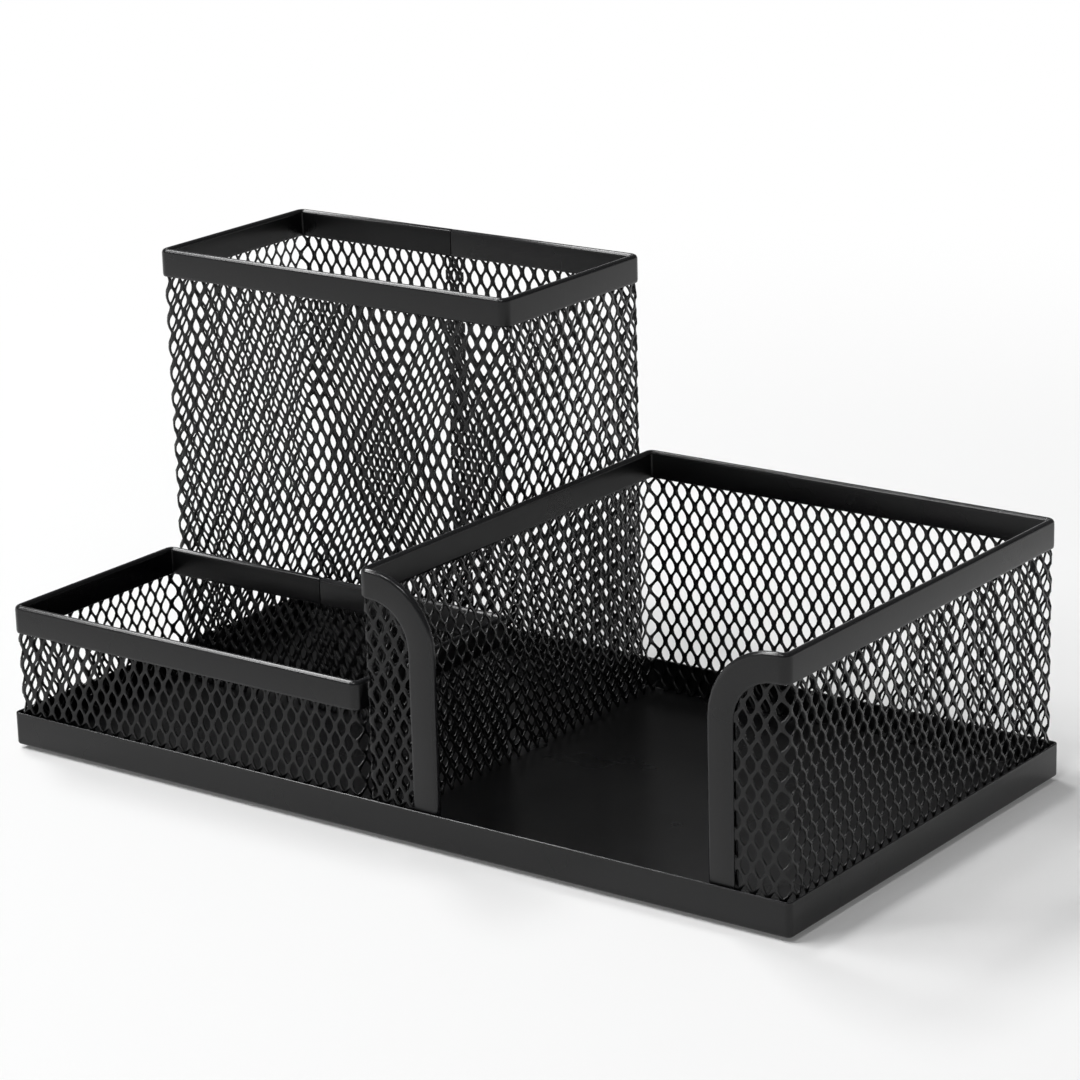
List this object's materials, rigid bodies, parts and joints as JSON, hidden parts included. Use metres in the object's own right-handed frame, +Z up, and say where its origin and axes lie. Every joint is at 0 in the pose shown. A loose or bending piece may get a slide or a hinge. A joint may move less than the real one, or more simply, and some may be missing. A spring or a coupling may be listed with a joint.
{
  "type": "desk organizer",
  "caption": "Desk organizer of black expanded steel mesh: a tall pen cup, a low tray and a note box with a cut-out front, standing in one shallow base pan.",
  "frame": {"origin": "middle of the footprint, on the surface that the pads stand on", "axes": "+X along the front from the pen cup's side to the note box's side, +Y to the back, +Z up; the front faces -Y"},
  "size_m": [0.205, 0.1064, 0.1033],
  "materials": {
    "steel": "semi-gloss black powder coat",
    "rubber": "matt black"
  },
  "bodies": {
    "root": {"base_pan": "steel", "pad_front_left": "rubber", "pad_front_right": "rubber", "pad_back_left": "rubber", "pad_back_right": "rubber", "pen_cup_mesh_front": "steel", "pen_cup_mesh_back": "steel", "pen_cup_mesh_left": "steel", "pen_cup_mesh_right": "steel", "pen_cup_bend_front_left": "steel", "pen_cup_bend_front_right": "steel", "pen_cup_bend_back_left": "steel", "pen_cup_bend_back_right": "steel", "pen_cup_rim": "steel", "tray_mesh_front": "steel", "tray_mesh_back": "steel", "tray_mesh_left": "steel", "tray_mesh_right": "steel", "tray_bend_front_left": "steel", "tray_bend_front_right": "steel", "tray_bend_back_left": "steel", "tray_bend_back_right": "steel", "tray_rim": "steel", "note_box_mesh_front_left": "steel", "note_box_mesh_front_right": "steel", "note_box_mesh_back": "steel", "note_box_mesh_left": "steel", "note_box_mesh_right": "steel", "note_box_bend_front_left": "steel", "note_box_bend_front_right": "steel", "note_box_bend_back_left": "steel", "note_box_bend_back_right": "steel", "note_box_rim": "steel"}
  },
  "joints": []
}
